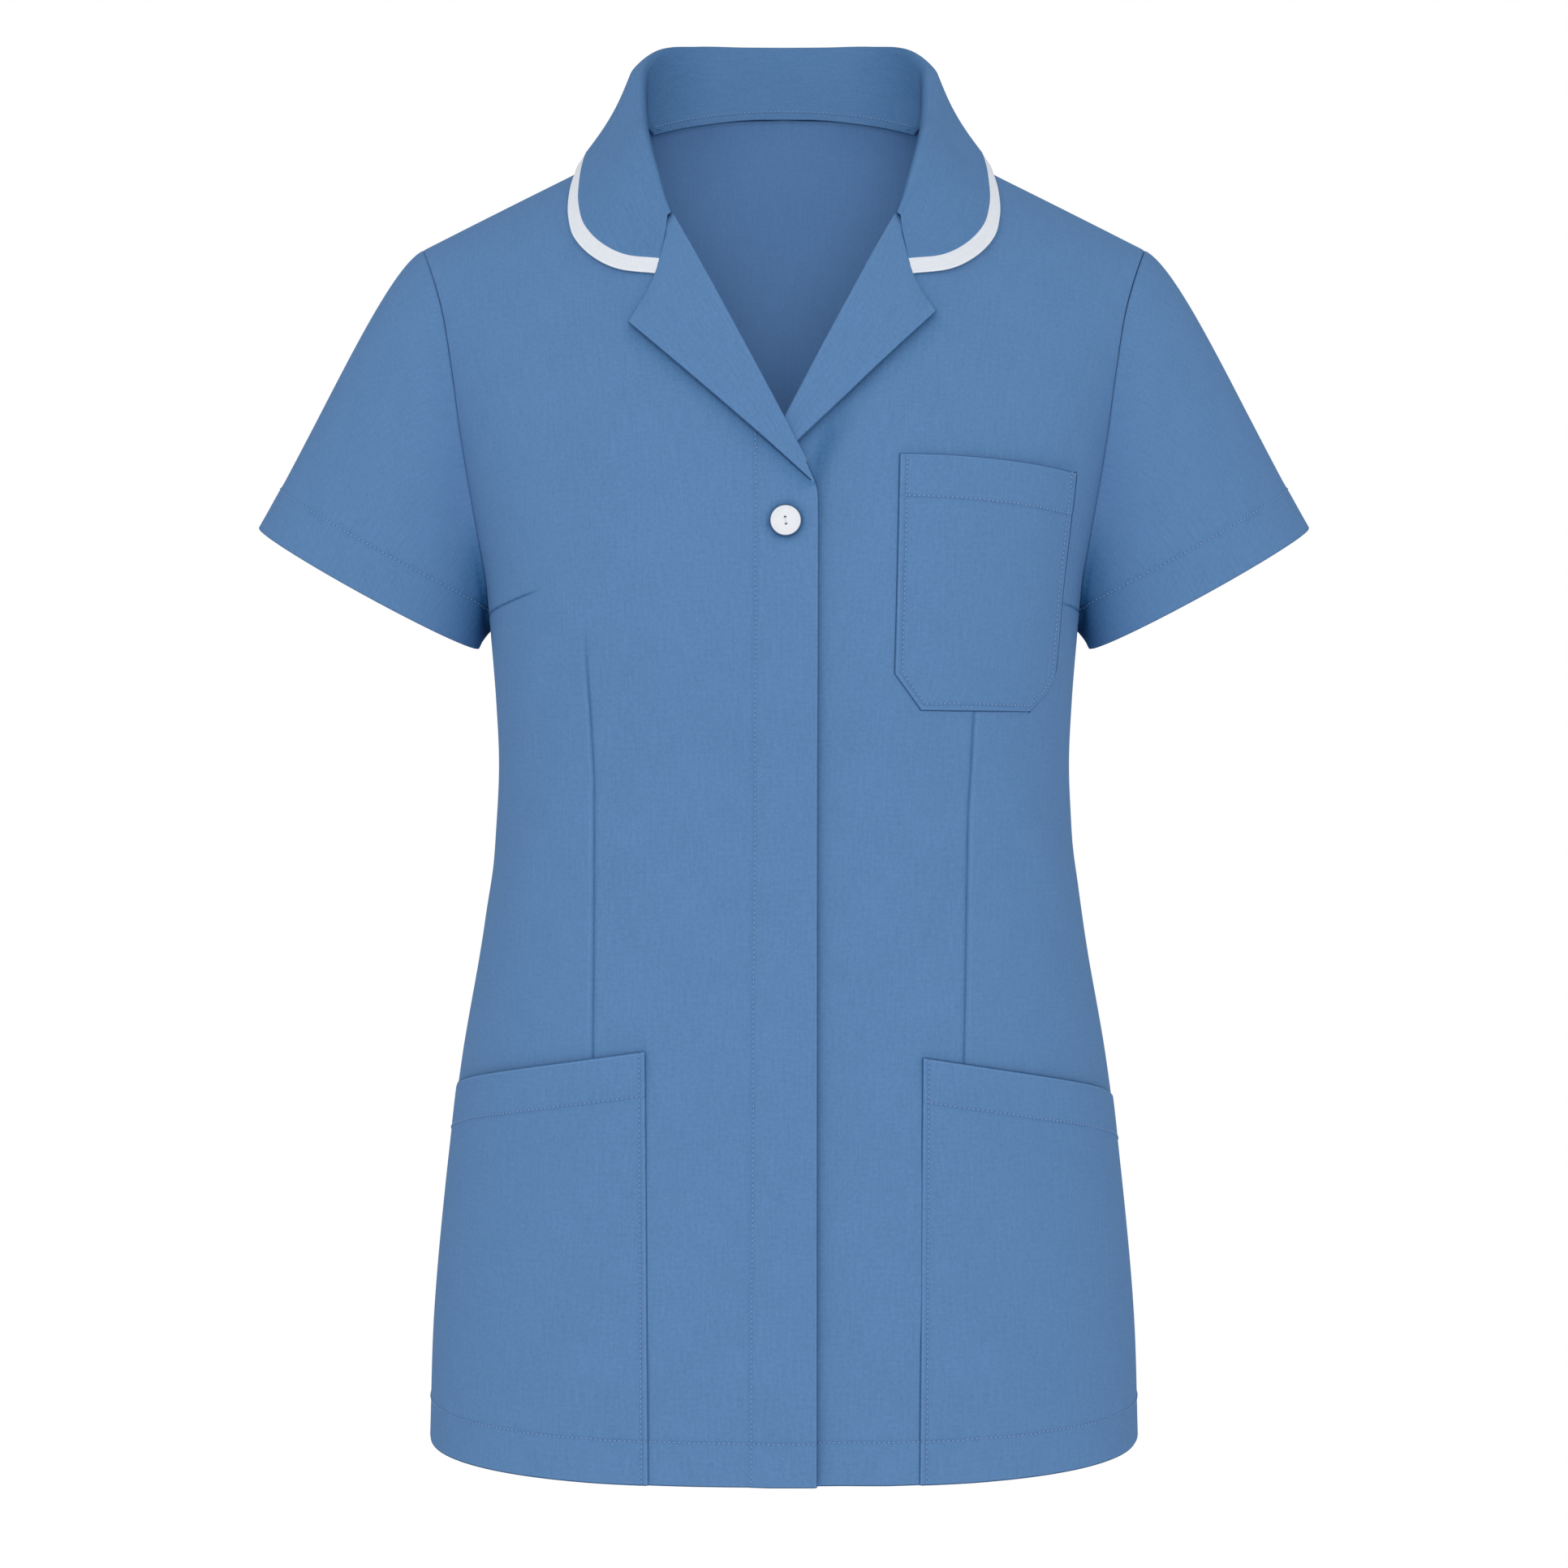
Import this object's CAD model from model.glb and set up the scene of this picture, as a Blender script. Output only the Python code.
# %% [markdown]
# # A work tunic, sewn piece by piece
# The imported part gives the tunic's walls of cloth with few faces. Here every piece is made again
# on the same form with many more points, so that hems, darts, stitches and soft creases show.

# %% Load the frame
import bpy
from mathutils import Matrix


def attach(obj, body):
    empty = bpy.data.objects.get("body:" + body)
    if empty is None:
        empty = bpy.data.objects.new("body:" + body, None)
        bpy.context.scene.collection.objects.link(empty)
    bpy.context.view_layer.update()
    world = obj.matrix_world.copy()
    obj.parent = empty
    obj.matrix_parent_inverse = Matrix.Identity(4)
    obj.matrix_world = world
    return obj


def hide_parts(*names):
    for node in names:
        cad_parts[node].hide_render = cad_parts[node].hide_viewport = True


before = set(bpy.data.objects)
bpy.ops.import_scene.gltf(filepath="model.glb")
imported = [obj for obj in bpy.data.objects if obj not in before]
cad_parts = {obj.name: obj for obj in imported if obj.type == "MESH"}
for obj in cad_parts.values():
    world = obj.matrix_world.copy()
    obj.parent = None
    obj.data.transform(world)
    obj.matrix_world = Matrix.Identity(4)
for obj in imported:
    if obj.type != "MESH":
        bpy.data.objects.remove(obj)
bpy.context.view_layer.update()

# %% Imports
from collections import namedtuple
from math import cos, pi, radians, sin

import bpy
import numpy as np
from mathutils import Vector
from mathutils.bvhtree import BVHTree

print("Blender", bpy.app.version_string)

# %% [markdown]
# ## The form under the cloth
# A tunic of this kind is filled out by the figure of its wearer. The figure could be sculpted, or cloth
# could be dropped on a dummy. A formula is used instead, because each piece can ask it for places and
# so lies exactly on its neighbours. The form is a tube with a rounded square girth, narrow at the waist,
# whose front and back lean together towards the shoulder line. All numbers are metres, and x is counted
# from the centre towards a piece's own side.

# %% Sizes of the form
WALL, POCKET_WALL, TRIM_WALL = 0.0012, 0.0011, 0.0010
SEAM, LAYER = 0.0005, 0.0018
TRIM_SEAM, SLEEVE_GAP = 0.0002, 0.0010
HEM, UNDERARM, POCKET_TOP, BREAK = -0.710, -0.271, -0.190, -0.2015
GORGE_X, GORGE_Z, NOTCH_X, NOTCH_Z = 0.0590, -0.0580, 0.0650, -0.0926
NECK_X, TIP_X = 0.0757, 0.1990
SHOULDER_RISE, SHOULDER_SLOPE = 0.0380, 0.5
NECK_RISE, NECK_REACH, NAPE_ROUND = 0.0162, 0.120, 0.020
LAP = 0.0168
BUTTON_X, BUTTON_Z, BUTTON_RADIUS = 0.0008, -0.2241, 0.0083
GIRTH_POWER = 2.5
DOME_POWER = {"front": 1.8, "back": 2.3}


def table(fields, *rows):
    """Rows of numbers, each with the names of its columns."""
    named = namedtuple("Row", fields)
    return [named(*row) for row in rows]


def edge(*rows):
    return table("height x", *rows)


SECTIONS = table(
    "height half_width front back",
    (HEM, 0.1926, 0.1300, 0.1280),
    (-0.647, 0.1907, 0.1275, 0.1270),
    (-0.582, 0.1853, 0.1220, 0.1220),
    (-0.507, 0.1763, 0.1170, 0.1130),
    (-0.432, 0.1637, 0.1112, 0.0990),
    (-0.387, 0.1583, 0.1100, 0.0940),
    (-0.347, 0.1560, 0.1130, 0.0935),
    (-0.312, 0.1574, 0.1188, 0.0980),
    (UNDERARM, 0.1606, 0.1240, 0.1030),
)
SPREADS = table(
    "rise factor",
    (0, 1), (0.10, 1.016), (0.21, 1.050), (0.47, 1.140),
    (0.62, 1.200), (0.81, 1.300), (0.95, 1.405), (1, 1.440),
)
ARMHOLE = edge(
    (UNDERARM, 0.1606), (-0.264, 0.1606), (-0.252, 0.1604), (-0.226, 0.1640), (-0.195, 0.1691),
    (-0.165, 0.1736), (-0.133, 0.1780), (-0.0966, 0.1853), (-0.0682, 0.1958),
    (SHOULDER_RISE - SHOULDER_SLOPE * TIP_X, TIP_X),
)
FRONT_EDGE = edge(
    (HEM, -0.0160), (-0.2140, -LAP), (-0.2100, -0.0166), (-0.2070, -0.0161), (-0.2040, -0.0153),
    (BREAK, -0.0143), (POCKET_TOP, -0.0090), (GORGE_Z, GORGE_X), (-0.0300, 0.0690), (0.0045, NECK_X),
)
BACK_NECK = table(
    "x height", (0, 0.0223), (0.0300, 0.0192), (0.0462, 0.0157), (0.0642, 0.0096), (NECK_X, 0.0045)
)


# %% Curves through the tables
def column(rows, name):
    return np.array([getattr(row, name) for row in rows], dtype=float)


def between(t, start, end, leave, arrive):
    """A smooth curve from one value to another, with the slopes at which it leaves and arrives."""
    low = (2 * t**3 - 3 * t**2 + 1) * start + (t**3 - 2 * t**2 + t) * leave
    return low + (3 * t**2 - 2 * t**3) * end + (t**3 - t**2) * arrive


def through(xs, ys, at, flat_end=False):
    """A smooth curve through points, read at these places."""
    slopes = np.gradient(ys, xs)
    if flat_end:
        slopes[-1] = 0
    at = np.clip(at, xs[0], xs[-1])
    i = np.clip(np.searchsorted(xs, at) - 1, 0, len(xs) - 2)
    gap = xs[i + 1] - xs[i]
    return between((at - xs[i]) / gap, ys[i], ys[i + 1], gap * slopes[i], gap * slopes[i + 1])


def smooth(rows, key, value, at):
    return through(column(rows, key), column(rows, value), at, flat_end=value in DOME_POWER)


def straight(edges, height):
    return np.interp(height, column(edges, "height"), column(edges, "x"))


def unit(vectors):
    return vectors / np.maximum(np.linalg.norm(vectors, axis=-1, keepdims=True), 1e-12)


def facing(directions, toward):
    """The same directions, turned round where they point against others."""
    return directions * np.sign(np.sum(directions * toward, axis=-1, keepdims=True))


print("armhole at the top of the chest pocket:", round(float(smooth(ARMHOLE, "height", "x", POCKET_TOP)), 4))


# %% The form itself
def other_side(share, power):
    return np.clip(1 - np.abs(np.clip(share, -1, 1)) ** power, 0, 1) ** (1 / power)


def shoulder(x):
    near_neck = np.clip(1 - (x / NECK_REACH) ** 2, 0, 1)
    return SHOULDER_RISE - SHOULDER_SLOPE * np.hypot(x, NAPE_ROUND) + NECK_RISE * near_neck**2


def rise_at(x, z):
    return np.clip((z - UNDERARM) / (shoulder(x) - UNDERARM), 0, 1)


def half_width(x, z):
    low = smooth(SECTIONS, "height", "half_width", np.minimum(z, UNDERARM))
    return low * smooth(SPREADS, "rise", "factor", rise_at(x, z))


def on_form(side, x, z):
    """Points of the form, own side, at these places of the front view."""
    x, z = np.broadcast_arrays(np.asarray(x, float), np.asarray(z, float))
    girth = smooth(SECTIONS, "height", side, np.minimum(z, UNDERARM))
    lean = other_side(rise_at(x, z), DOME_POWER[side])
    away = np.maximum(girth * other_side(x / half_width(x, z), GIRTH_POWER) * lean, SEAM / 2)
    return np.stack([x, -away if side == "front" else away, z], axis=-1)


def along_row(side, angle, row):
    """Points on rows, a height for each x, at angles from the centre to the side seam."""
    sine, cosine = np.abs(np.sin(angle)) ** GIRTH_POWER, np.abs(np.cos(angle)) ** GIRTH_POWER
    across = (sine + cosine) ** (-1 / GIRTH_POWER) * np.sin(angle)
    x = across * SECTIONS[-1].half_width
    for _ in range(30):
        x = half_width(x, row(x)) * across
    return on_form(side, x, row(x))


def edge_angle(row, at_edge):
    """The angle at which rows meet an edge, which is a table or a function of the height."""
    x = 0.0
    for _ in range(60):
        x = at_edge(row(x)) if callable(at_edge) else straight(at_edge, row(x))
    share = x / half_width(x, row(x))
    return np.arctan2(share, other_side(share, GIRTH_POWER))


waist = on_form("front", 0.0, -0.387)
print("waist depth at the centre front:", round(float(-waist[1]), 4))


# %% Outward from the form
def form_normal(side, points):
    """Outward unit normals of the form at points on it."""

    def outside(x, y, z):
        girth = smooth(SECTIONS, "height", side, np.minimum(z, UNDERARM))
        power = DOME_POWER[side]
        rise = np.maximum((z - UNDERARM) / (shoulder(x) - UNDERARM), 0)
        across = other_side(x / half_width(x, z), GIRTH_POWER) ** power
        return np.abs(y / girth) ** power - across * (1 - rise**power)

    slopes = []
    for way in np.eye(3) * 0.0002:
        ahead = outside(*np.moveaxis(points + way, -1, 0))
        slopes.append(ahead - outside(*np.moveaxis(points - way, -1, 0)))
    return unit(np.stack(slopes, axis=-1))


def raised(side, points, lift):
    """Points moved outward along the form's normals."""
    return points + form_normal(side, points) * np.asarray(lift)[..., None]


def lifted(side, x, z, lift):
    return raised(side, on_form(side, x, z), lift)


chest_way = form_normal("front", on_form("front", 0.10, POCKET_TOP))
print("the chest faces", chest_way.round(3))

# %% [markdown]
# ## Colours and finishes
# The tunic is a smooth mid-blue poplin. Seen close, its yarns cross in a plain weave well under half a
# millimetre wide, a few yarns are thicker than others, and dye takes a little unevenly. Folded edges are
# rubbed slightly lighter and stitched lines look darker. The weave reads the cloth's own map, which is
# laid out in metres, and an attribute called "rub" says where the cloth is rubbed, pressed or shaded.
# A picture of cloth could be laid on it, but waves and noises on the map stay sharp however close.

# %% Shader helpers
BLUE, WHITE = (0.112, 0.234, 0.450), (0.79, 0.825, 0.885)
SHADE_POWERS = (1.5, 0.92, 0.72)  # light that bounces between blue faces gets bluer, channel by channel


def new_material(name, roughness, sheen=0.0):
    material = bpy.data.materials.new(name)
    material.use_nodes = True
    shader = material.node_tree.nodes["Principled BSDF"]
    shader.inputs["Roughness"].default_value = roughness
    shader.inputs["Sheen Weight"].default_value = sheen
    shader.inputs["Sheen Roughness"].default_value = 0.5
    shader.inputs["Specular IOR Level"].default_value = 0.06
    return material, material.node_tree, shader


def add(tree, kind, settings=None, **inputs):
    """One node, its settings and its inputs, which are values or other nodes' sockets."""
    node = tree.nodes.new("ShaderNode" + kind)
    for key, value in (settings or {}).items():
        setattr(node, key, value)
    for key, value in inputs.items():
        socket = node.inputs[int(key[1:])] if key[0] == "i" and key[1:].isdigit() else node.inputs[key]
        if isinstance(value, bpy.types.NodeSocket):
            tree.links.new(value, socket)
        else:
            socket.default_value = value
    return node


def math(tree, operation, a, b=0.0):
    return add(tree, "Math", {"operation": operation}, i0=a, i1=b).outputs[0]


def noise(tree, at, scale, **more):
    return add(tree, "TexNoise", Vector=at, Scale=scale, **more).outputs[0]


def ramp(tree, at, low, high, high_at=1.0):
    """A colour between two others."""
    node = add(tree, "ValToRGB", i0=at)
    node.color_ramp.elements[0].color, node.color_ramp.elements[1].color = (*low, 1), (*high, 1)
    node.color_ramp.elements[1].position = high_at
    return node.outputs[0]


def eased(tree, at, start, end, low=0.0, high=1.0):
    """A soft step from one value to another."""
    return add(
        tree, "MapRange", {"interpolation_type": "SMOOTHSTEP"}, i0=at, i1=start, i2=end, i3=low, i4=high
    ).outputs[0]


def finish(tree, shader, colour, **bump):
    """Joins a colour and a bump to the shader."""
    tree.links.new(colour, shader.inputs["Base Color"])
    tree.links.new(add(tree, "Bump", **bump).outputs[0], shader.inputs["Normal"])


# %% Woven cloth
SLUB_SHORT, SLUB_LONG = 900, 60  # how often the thick yarns come, across and along themselves


def woven(name, colour, yarn, mottle):
    material, tree, shader = new_material(name, 0.85)

    def times(a, b):
        return math(tree, "MULTIPLY", a, b)

    def plus(a, b):
        return math(tree, "ADD", a, b)

    def slubs(*scale):
        stretched = add(tree, "Mapping", Vector=flat, Scale=(*scale, 1)).outputs[0]
        return noise(tree, stretched, 1.0, Detail=1.0)

    flat = add(tree, "UVMap", {"uv_map": "cloth"}).outputs[0]
    parts = add(tree, "SeparateXYZ", i0=flat).outputs
    warp, weft = (math(tree, "SINE", times(parts[k], 2 * pi / yarn)) for k in (0, 1))
    slub = plus(slubs(SLUB_SHORT, SLUB_LONG), times(slubs(SLUB_LONG, SLUB_SHORT), 0.5))
    dye = noise(tree, flat, 28.0, Detail=5.0, Roughness=0.6)
    fleck = noise(tree, flat, 520.0, Detail=2.0)
    tone = plus(add(tree, "Attribute", {"attribute_name": "rub"}).outputs["Fac"], 1.0)
    for part, middle, strength in ((slub, 0.75, 1.5), (fleck, 0.5, 2.4), (dye, 0.5, 1.0)):
        tone = plus(tone, times(plus(part, -middle), strength * mottle))
    shaded = math(tree, "MAXIMUM", math(tree, "MINIMUM", tone, 1.0), 0.02)
    rubbed = math(tree, "MAXIMUM", tone, 1.0)
    red, green, blue = (times(math(tree, "POWER", shaded, power), rubbed) for power in SHADE_POWERS)
    bright = add(tree, "CombineXYZ", i0=red, i1=green, i2=blue).outputs[0]
    tinted = add(tree, "VectorMath", {"operation": "MULTIPLY"}, i0=bright, i1=colour).outputs[0]
    height = plus(times(warp, weft), times(slub, 1.5))
    finish(tree, shader, tinted, Strength=0.22, Distance=0.00008, Height=height)
    tree.links.new(plus(times(dye, 0.12), 0.80), shader.inputs["Roughness"])
    return material


blue_poplin = woven("blue_poplin", BLUE, 0.00042, 0.10)
white_binding = woven("white_binding", WHITE, 0.00038, 0.05)
print("cloths:", blue_poplin.name, white_binding.name)

# %% [markdown]
# ## One wall of cloth
# Every cut piece is a sheet of points in rows and columns. It could get its thickness from a Solidify
# modifier, but cloth is turned in at its edges, and a solidified edge looks sawn. So the helper gives it
# a face side and an inner side, and closes the two with a line of points in the middle of the turned
# edge. The cloth's map is measured along the sheet, in metres.

# %% Grid helpers
def spread(length, marks, coarse=0.0026, fine=0.0006, reach=0.006):
    """Positions along a length, closer together near the marks."""
    s = np.linspace(0, length, 3000)
    near = np.min(np.abs(s[:, None] - np.array(marks, dtype=float)), axis=1)
    size = fine + (coarse - fine) * np.clip(near / reach, 0, 1)
    count = np.concatenate([[0], np.cumsum(np.diff(s) * 2 / (size[1:] + size[:-1]))])
    return np.interp(np.linspace(0, count[-1], int(np.ceil(count[-1])) + 1), count, s)


def shares(length, marks, *sizes):
    return spread(length, marks, *sizes) / length


def run(points, axis):
    """Distance along each strand of a grid from its first point."""
    steps = np.linalg.norm(np.diff(points, axis=axis), axis=-1)
    return np.concatenate([np.zeros_like(np.take(steps, [0], axis)), np.cumsum(steps, axis=axis)], axis=axis)


def run_left(points, axis):
    """Distance along each strand of a grid to its last point."""
    along = run(points, axis)
    return np.take(along, [-1], axis) - along


def grid_normals(points, wraps=False):
    if wraps:
        around = np.roll(points, -1, axis=1) - np.roll(points, 1, axis=1)
    else:
        around = np.gradient(points, axis=1)
    return unit(np.cross(around, np.gradient(points, axis=0)))


# %% From points to a piece that is tied to its solid
def tie(piece, node=None):
    """Fixes a piece to the tunic's one body, and names the solid that it stands for."""
    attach(piece, "root")
    if node:
        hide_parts(node)


def new_object(name, data):
    thing = bpy.data.objects.new(name, data)
    bpy.context.scene.collection.objects.link(thing)
    return thing


def new_piece(name, vertices, faces, material, rub=None, node=None):
    mesh = bpy.data.meshes.new(name)
    mesh.from_pydata(np.concatenate(vertices).tolist(), [], faces)
    if rub:
        mesh.attributes.new("rub", "FLOAT", "POINT").data.foreach_set("value", np.concatenate(rub))
    mesh.materials.append(material)
    mesh.shade_smooth()
    piece = new_object(name, mesh)
    tie(piece, node)
    return piece


# %% Edges of a grid
EDGE_SHADE, EDGE_LIGHT = -0.50, 0.12  # a turned edge is dark in its fold and rubbed on top
EDGE_INSET, EDGE_THIN, EDGE_SINK = 0.25, 0.88, 0.25  # shares of the wall at a turned edge
NARROW_LIP = 0.0002
MIRROR = np.array((-1, 1, 1))  # pieces of the wearer's right are made on their left
SIDES = ("right", "left")
pieces, cuts = {}, {}


def turned_edges(rows, columns, wraps):
    """The grid's edges as closed loops of rows and columns."""
    along, up = range(columns), range(rows)
    if wraps:
        loops = [[(0, k) for k in along], [(rows - 1, k) for k in along[::-1]]]
    else:
        first, last = [(0, k) for k in along[:-1]], [(rows - 1, k) for k in along[:0:-1]]
        loops = [first + [(k, columns - 1) for k in up[:-1]] + last + [(k, 0) for k in up[:0:-1]]]
    return [np.array(loop) for loop in loops]


print("a sheet of 5 by 4 points has", len(turned_edges(5, 4, False)[0]), "of them on its edge")


# %% Cloth helper
def cloth_piece(
    name, node, points, wall=WALL, material=blue_poplin,
    wraps=False, rub=0.0, lip=0.00015, paler=0.0,
):
    """A closed wall of cloth on a grid, with turned edges, tied to its solid.

    The lip is how far the turned edge reaches out below the face side."""
    if node.endswith("right"):
        points = points * MIRROR
    rows, columns = points.shape[:2]
    normal = grid_normals(points, wraps)
    closed = np.concatenate([points, points[:, :1]], axis=1) if wraps else points
    u, v = run(closed, 1), run(closed, 0)
    patches = np.cross(np.diff(closed, axis=1)[:-1], np.diff(closed, axis=0)[:, :-1])
    cuts[node] = (float(u[:, -1].max()), float(v[-1].max()), float(np.linalg.norm(patches, axis=-1).sum()))
    rub = np.zeros((rows, columns)) + rub
    outward = np.zeros_like(points)
    outward[0] += unit(points[0] - points[1])
    outward[-1] += unit(points[-1] - points[-2])
    if not wraps:
        u = u - u[:, columns // 2 : columns // 2 + 1]
        rub[[0, -1]] += EDGE_LIGHT
        rub[:, [0, -1]] += EDGE_LIGHT
        outward[:, 0] += unit(points[:, 0] - points[:, 1])
        outward[:, -1] += unit(points[:, -1] - points[:, -2])
    outward = unit(outward)
    rim = np.linalg.norm(outward, axis=-1, keepdims=True) > 0.5
    inset = points - outward * wall * EDGE_INSET * rim
    half = wall / 2 * np.where(rim, EDGE_THIN, 1.0)
    middle_line = points + outward * lip - normal * wall * (EDGE_SINK if np.max(lip) > NARROW_LIP else 0.0)

    count = rows * columns
    vertices = [(inset + normal * half).reshape(-1, 3), (inset - normal * half).reshape(-1, 3)]
    tones = [rub.ravel(), rub.ravel() + paler]
    r, c = np.indices((rows, columns))
    width = columns if wraps else columns - 1
    a = (r * columns + c)[:-1, :width].ravel()
    b = (r * columns + (c + 1) % columns)[:-1, :width].ravel()
    quads = np.stack([a, b, b + columns, a + columns], axis=1)
    corner_steps = np.array([(0, 0), (0, 1), (1, 1), (1, 0)])
    maps = np.stack([r, c], axis=-1)[:-1, :width].reshape(-1, 1, 2) + corner_steps
    faces, places = [quads, quads[:, ::-1] + count], [maps, maps[:, ::-1]]
    base = 2 * count
    for loop in turned_edges(rows, columns, wraps):
        at = (loop[:, 0], loop[:, 1])
        index = loop[:, 0] * columns + loop[:, 1]
        following = np.roll(index, -1)
        middle = base + np.arange(len(loop))
        after = np.roll(middle, -1)
        vertices.append(middle_line[at])
        tones.append(rub[at] + EDGE_SHADE)
        faces.append(np.stack([following, index, middle, after], axis=1))
        faces.append(np.stack([after, middle, index + count, following + count], axis=1))
        here, there = loop.copy(), np.roll(loop, -1, axis=0)
        if wraps:  # across the seam the map goes on to one column past the last
            wrap = np.abs(here[:, 1] - there[:, 1]) > 1
            there[wrap & (there[:, 1] == 0), 1] = columns
            here[wrap & (here[:, 1] == 0), 1] = columns
        places += [np.stack([there, here, here, there], axis=1)] * 2
        base += len(loop)
    piece = new_piece(name, vertices, np.concatenate(faces).tolist(), material, tones, node)
    at = np.concatenate(places).reshape(-1, 2)
    flat_map = np.stack([u[at[:, 0], at[:, 1]], v[at[:, 0], at[:, 1]]], axis=1)
    piece.data.uv_layers.new(name="cloth").data.foreach_set("uv", flat_map.ravel())
    piece.data.update()
    pieces[node] = piece
    print(name, "faces", len(piece.data.polygons), "width, length, area", [round(s, 4) for s in cuts[node]])


# %% [markdown]
# ## Creases, troughs and where the cloth is rubbed
# Ironed poplin hangs almost smooth. What shows are a few long, very soft ridges from the bust and waist
# down to the hips. A cloth simulation could make folds, but hardly these few, and never in these places.
# Each is placed by hand as a line in the front view with its width and height, and moves the cloth a
# millimetre or so along its own normal.

# %% Soft steps, dips and creases
STITCH_DIP, STITCH_DIP_WIDTH = 0.00025, 0.0008


def step(value, start, end):
    t = np.clip((value - start) / (end - start), 0, 1)
    return 3 * t**2 - 2 * t**3


def line_dip(distance, width):
    return np.exp(-((distance / width) ** 2))


def beyond(x, z, a, b):
    """Distance from a line in the front view, and the share of the way along it."""
    way = np.array(b) - np.array(a)
    length = np.hypot(*way)
    along = ((x - a[0]) * way[0] + (z - a[1]) * way[1]) / length**2
    return ((x - a[0]) * way[1] - (z - a[1]) * way[0]) / length, along


def crease_lines(*rows):
    return table("x1 z1 x2 z2 width height", *rows)


def crease_lift(x, z, creases):
    lift = np.zeros_like(x)
    for line in creases:
        off, along = beyond(x, z, (line.x1, line.z1), (line.x2, line.z2))
        ends = np.minimum(along, 1 - along) / 0.45 + 0.25
        lift += line.height * step(ends, 0, 1) * line_dip(off, line.width)
    return lift


def turned_up(line, layer=0.0003):
    """The lift of cloth turned back up to a line of stitches, and the dip of the stitches."""
    return layer * (1 - step(line, -0.0004, 0.0008)) - STITCH_DIP * line_dip(line, STITCH_DIP_WIDTH)


# %% [markdown]
# ## Front panels
# Each front is one panel from the hem to the shoulder, shaped by a long waist dart and a short bust
# dart from the side. The right one laps over the left and carries a stitched button band. A dart is a
# pinch sewn on the inside, so outside it is only a fine groove, with the folded cloth under one side.
# A front could be a flat pattern that is sewn up and settles. Here its rows and columns are laid on the
# form between its real edges, so that all seams meet and the waist dart runs along a column.

# %% Rows and columns of the panels
HEM_TURN, BAND_TOP = 0.0215, -0.178
# Heights above the hem where rows lie closer: its edge, its stitches, the bust darts, the lap's corner
FINE_ROWS = (0, HEM_TURN, 0.4450, 0.4487, 0.4530, 0.5030)
WAIST_DART = {
    "right": edge(
        (-0.497, 0.0980), (-0.455, 0.0980), (-0.3545, 0.0979), (-0.316, 0.0998), (-0.291, 0.1015),
        (-0.265, 0.1015), (-0.06, 0.118),
    ),
    "left": edge(
        (-0.499, 0.0921), (-0.455, 0.0933), (-0.371, 0.0949), (-0.350, 0.0962), (-0.320, 0.0975),
        (-0.265, 0.0990), (-0.06, 0.115),
    ),
}
WAIST_DART_TOP = {"right": -0.268, "left": -0.290}
BUST_DART = {"right": ((0.1590, -0.2650), (0.1277, -0.2567)), "left": ((0.1580, -0.2630), (0.1449, -0.2614))}
BAND_LINE = edge((HEM, 0.0174), (-0.196, 0.0148))
BAND_WIDTH, EDGE_TO_DART, DART_TO_SIDE = 0.0325, 0.1150, 0.1250
CHEST_TO_SHOULDER = 0.170


def body_rows(coarse):
    """Rows are level up to the top of the chest pocket and fan out from there to the shoulder."""
    low = HEM + spread(POCKET_TOP - HEM, FINE_ROWS, coarse)
    fan = shares(CHEST_TO_SHOULDER, [CHEST_TO_SHOULDER], coarse)[1:]
    start = np.concatenate([low, np.full(len(fan), POCKET_TOP)])[:, None]
    return start, np.concatenate([np.zeros(len(low)), fan])[:, None]


def row_of(start, share, top):
    """The height of each row, which depends on x where the row fans out towards the top."""
    return lambda x: start + (top(x) - start) * share


def outer_angle(start, row):
    angle = edge_angle(row, lambda z: smooth(ARMHOLE, "height", "x", z))
    return np.where(start < UNDERARM, pi / 2, angle)


def front_grid(side, coarse=0.0026):
    start, share = body_rows(coarse)
    row = row_of(start, share, shoulder)
    inner = edge_angle(row, FRONT_EDGE)
    dart = edge_angle(row, WAIST_DART[side])
    outer = outer_angle(start, row)
    first = shares(EDGE_TO_DART, [0, BAND_WIDTH, EDGE_TO_DART], coarse)
    second = shares(DART_TO_SIDE, [0, DART_TO_SIDE], coarse)[1:]
    angle = np.concatenate([inner + (dart - inner) * first, dart + (outer - dart) * second], axis=1)
    return along_row("front", angle, row)


print("rows of a panel:", len(body_rows(0.0026)[0]))


# %% Darts and creases of the fronts
FRONT_CREASES = {
    "right": crease_lines(
        (0.110, -0.350, 0.157, -0.452, 0.0075, 0.0011),
        (0.130, -0.345, 0.163, -0.420, 0.0080, -0.0009),
        (0.122, -0.278, 0.142, -0.325, 0.0080, 0.0008),
        (0.108, -0.280, 0.104, -0.360, 0.0070, -0.0007),
        (0.075, -0.115, 0.098, -0.215, 0.0140, 0.0010),
        (0.105, -0.090, 0.125, -0.200, 0.0150, -0.0008),
        (0.060, -0.520, 0.066, -0.660, 0.0160, 0.0008),
    ),
    "left": crease_lines(
        (0.106, -0.340, 0.158, -0.445, 0.0075, 0.0010),
        (0.126, -0.335, 0.160, -0.405, 0.0080, -0.0009),
        (0.062, -0.138, 0.033, -0.192, 0.0080, 0.0012),
        (0.0295, -0.163, 0.0150, -0.206, 0.0055, -0.0026),
        (0.092, -0.095, 0.060, -0.175, 0.0120, 0.0009),
        (0.118, -0.080, 0.100, -0.180, 0.0140, -0.0008),
        (0.060, -0.520, 0.064, -0.660, 0.0160, 0.0007),
    ),
}
DART_DIP, BUST_DIP, DART_FOLD = 0.00040, 0.00045, 0.00035
DART_DARK, DART_LIGHT, BUST_DARK = 0.34, 0.10, 0.57
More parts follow.
